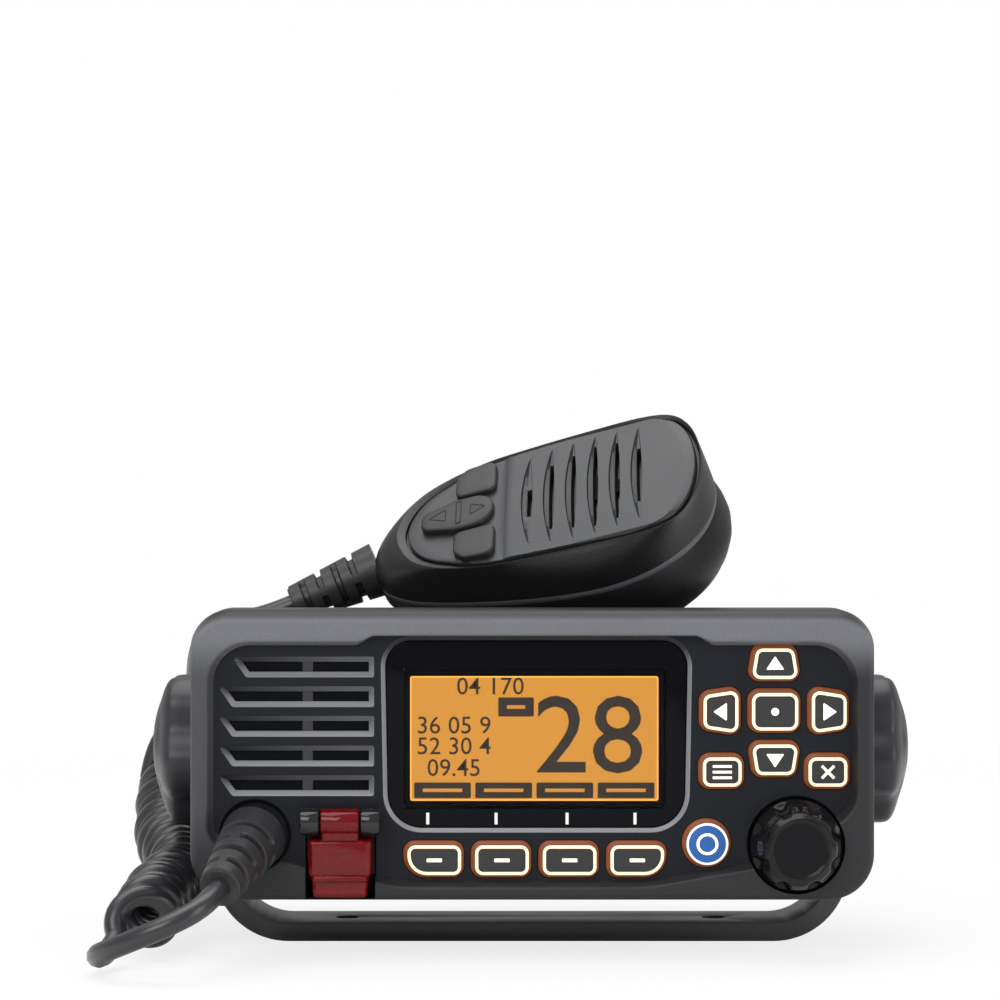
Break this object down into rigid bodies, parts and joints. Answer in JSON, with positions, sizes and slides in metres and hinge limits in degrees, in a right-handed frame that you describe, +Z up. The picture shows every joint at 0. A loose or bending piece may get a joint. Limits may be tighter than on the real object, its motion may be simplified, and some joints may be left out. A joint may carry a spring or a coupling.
{
  "type": "vhf marine radio",
  "caption": "Fixed-mount marine two-way radio in a tilting U bracket, with a hand microphone resting on its case and a curly cord.",
  "frame": {"origin": "mounting surface under the bracket, midway between its two screw holes and under the tilt axis", "axes": "+X to the right seen from the front, +Y back from the front panel, +Z up"},
  "size_m": [0.1932, 0.1601, 0.1254],
  "materials": {
    "bracket_paint": "satin black powder coat",
    "case_casting": "fine textured black paint on a die casting",
    "panel_plastic": "fine grained dark grey",
    "knob_plastic": "satin moulded",
    "steel": "turned",
    "rubber": "matt moulded",
    "window_clear": "polished, dark smoked",
    "lcd_glass": "amber lit display",
    "backlight_plastic": "white",
    "board_laminate": "green solder mask",
    "speaker_steel": "zinc plated",
    "paper_cone": "black paper",
    "key_rubber": "silicone with clear edge",
    "call_key_plastic": "blue silicone",
    "cover_red": "clear red polycarbonate",
    "distress_red": "moulded red",
    "switch_plastic": "moulded",
    "shield_tin": "tinned steel",
    "connector_nickel": "nickel plated",
    "mic_plastic": "fine grained dark grey",
    "seam_grey": "light grey strip",
    "capsule_metal": "can",
    "hanger_metal": "plated",
    "cord_jacket": "satin polyurethane"
  },
  "bodies": {
    "bracket": {"mounting_bracket": "bracket_paint", "cord_coil": "cord_jacket", "cord_coil_rear": "cord_jacket", "panel_lead": "cord_jacket"},
    "radio": {"side_washer_left": "rubber", "side_washer_right": "rubber", "front_panel": "panel_plastic", "display_window": "window_clear", "lcd_panel": "lcd_glass", "lcd_backlight": "backlight_plastic", "front_circuit_board": "board_laminate", "keypad_sheet": "rubber", "speaker_gasket": "rubber", "speaker_basket": "speaker_steel", "speaker_cone": "paper_cone", "distress_hinge_pin": "steel", "distress_switch": "switch_plastic", "encoder_body": "switch_plastic", "case": "case_casting", "case_gasket": "rubber", "main_circuit_board": "board_laminate", "shield_can": "shield_tin", "antenna_connector": "connector_nickel", "lead_gland": "rubber", "case_screws": "steel", "panel_boot": "rubber", "mic_lead": "cord_jacket"},
    "clamp_left": {"knob_left": "knob_plastic", "knob_stud_left": "steel"},
    "clamp_right": {"knob_right": "knob_plastic", "knob_stud_right": "steel"},
    "key_enter": {"key_enter": "key_rubber"},
    "key_up": {"key_up": "key_rubber"},
    "key_down": {"key_down": "key_rubber"},
    "key_left": {"key_left": "key_rubber"},
    "key_right": {"key_right": "key_rubber"},
    "key_menu": {"key_menu": "key_rubber"},
    "key_clear": {"key_clear": "key_rubber"},
    "key_call": {"key_call": "call_key_plastic"},
    "soft_key_1": {"soft_key_1": "key_rubber"},
    "soft_key_2": {"soft_key_2": "key_rubber"},
    "soft_key_3": {"soft_key_3": "key_rubber"},
    "soft_key_4": {"soft_key_4": "key_rubber"},
    "distress_cover": {"distress_cover": "cover_red"},
    "distress_key": {"distress_key": "distress_red"},
    "dial_plunger": {"encoder_plunger": "switch_plastic"},
    "volume_dial": {"volume_knob": "knob_plastic", "encoder_shaft": "steel"},
    "microphone": {"mic_front_housing": "mic_plastic", "mic_rear_housing": "mic_plastic", "mic_seam_strip": "seam_grey", "mic_circuit_board": "board_laminate", "mic_capsule": "capsule_metal", "hanger_stud": "hanger_metal", "mic_screws": "steel", "mic_boot": "rubber"},
    "mic_key_upper": {"mic_key_upper": "key_rubber"},
    "mic_key_lower": {"mic_key_lower": "key_rubber"},
    "mic_rocker": {"mic_rocker": "key_rubber"},
    "talk_key": {"talk_key": "key_rubber"}
  },
  "joints": [
    {"name": "radio_tilt", "type": "hinge", "parent": "bracket", "child": "radio", "pos_m": [0, 0, 0.046], "axis": [1, 0, 0], "range_deg": [-15, 12], "deforming": ["panel_lead"]},
    {"name": "clamp_left_turn", "type": "hinge", "parent": "radio", "child": "clamp_left", "pos_m": [-0.084, 0, 0.046], "axis": [-1, 0, 0], "continuous": true},
    {"name": "clamp_right_turn", "type": "hinge", "parent": "radio", "child": "clamp_right", "pos_m": [0.084, 0, 0.046], "axis": [1, 0, 0], "continuous": true},
    {"name": "key_enter_press", "type": "slide", "parent": "radio", "child": "key_enter", "axis": [0, 1, 0], "range_m": [0, 0.0008], "stiffness_N_per_m": 300, "springref_m": -0.0005},
    {"name": "key_up_press", "type": "slide", "parent": "radio", "child": "key_up", "axis": [0, 1, 0], "range_m": [0, 0.0008], "stiffness_N_per_m": 300, "springref_m": -0.0005},
    {"name": "key_down_press", "type": "slide", "parent": "radio", "child": "key_down", "axis": [0, 1, 0], "range_m": [0, 0.0008], "stiffness_N_per_m": 300, "springref_m": -0.0005},
    {"name": "key_left_press", "type": "slide", "parent": "radio", "child": "key_left", "axis": [0, 1, 0], "range_m": [0, 0.0008], "stiffness_N_per_m": 300, "springref_m": -0.0005},
    {"name": "key_right_press", "type": "slide", "parent": "radio", "child": "key_right", "axis": [0, 1, 0], "range_m": [0, 0.0008], "stiffness_N_per_m": 300, "springref_m": -0.0005},
    {"name": "key_menu_press", "type": "slide", "parent": "radio", "child": "key_menu", "axis": [0, 1, 0], "range_m": [0, 0.0008], "stiffness_N_per_m": 300, "springref_m": -0.0005},
    {"name": "key_clear_press", "type": "slide", "parent": "radio", "child": "key_clear", "axis": [0, 1, 0], "range_m": [0, 0.0008], "stiffness_N_per_m": 300, "springref_m": -0.0005},
    {"name": "key_call_press", "type": "slide", "parent": "radio", "child": "key_call", "axis": [0, 1, 0], "range_m": [0, 0.0008], "stiffness_N_per_m": 300, "springref_m": -0.0005},
    {"name": "soft_key_1_press", "type": "slide", "parent": "radio", "child": "soft_key_1", "axis": [0, 1, 0], "range_m": [0, 0.0008], "stiffness_N_per_m": 300, "springref_m": -0.0005},
    {"name": "soft_key_2_press", "type": "slide", "parent": "radio", "child": "soft_key_2", "axis": [0, 1, 0], "range_m": [0, 0.0008], "stiffness_N_per_m": 300, "springref_m": -0.0005},
    {"name": "soft_key_3_press", "type": "slide", "parent": "radio", "child": "soft_key_3", "axis": [0, 1, 0], "range_m": [0, 0.0008], "stiffness_N_per_m": 300, "springref_m": -0.0005},
    {"name": "soft_key_4_press", "type": "slide", "parent": "radio", "child": "soft_key_4", "axis": [0, 1, 0], "range_m": [0, 0.0008], "stiffness_N_per_m": 300, "springref_m": -0.0005},
    {"name": "distress_cover_lift", "type": "hinge", "parent": "radio", "child": "distress_cover", "pos_m": [-0.0439, -0.0514, 0.0321], "axis": [-1, 0, 0], "range_deg": [0, 110], "stiffness_Nm_per_rad": 0.002, "springref_deg": -22.92},
    {"name": "distress_key_press", "type": "slide", "parent": "radio", "child": "distress_key", "axis": [0, 1, 0], "range_m": [0, 0.0008], "stiffness_N_per_m": 300, "springref_m": -0.0005},
    {"name": "dial_press", "type": "slide", "parent": "radio", "child": "dial_plunger", "axis": [0, 1, 0], "range_m": [0, 0.0005], "stiffness_N_per_m": 600, "springref_m": -0.0005},
    {"name": "volume_turn", "type": "hinge", "parent": "dial_plunger", "child": "volume_dial", "pos_m": [0.0604, -0.055, 0.0265], "axis": [0, -1, 0], "continuous": true},
    {"name": "microphone_lift", "type": "slide", "parent": "radio", "child": "microphone", "axis": [0, 0, 1], "range_m": [0, 0.03], "deforming": ["mic_lead"]},
    {"name": "mic_key_upper_press", "type": "slide", "parent": "microphone", "child": "mic_key_upper", "axis": [0.1843, 0.5736, -0.7982], "range_m": [0, 0.0008], "stiffness_N_per_m": 300, "springref_m": -0.0005},
    {"name": "mic_key_lower_press", "type": "slide", "parent": "microphone", "child": "mic_key_lower", "axis": [0.1843, 0.5736, -0.7982], "range_m": [0, 0.0008], "stiffness_N_per_m": 300, "springref_m": -0.0005},
    {"name": "mic_rocker_tilt", "type": "hinge", "parent": "microphone", "child": "mic_rocker", "pos_m": [-0.0177, 0.00255, 0.10104], "axis": [-0.129, 0.8192, 0.5589], "range_deg": [-2.5, 2.5], "stiffness_Nm_per_rad": 0.05},
    {"name": "talk_key_press", "type": "slide", "parent": "microphone", "child": "talk_key", "axis": [-0.0935, -0.7982, -0.5952], "range_m": [0, 0.0013], "stiffness_N_per_m": 500, "springref_m": -0.0005}
  ]
}
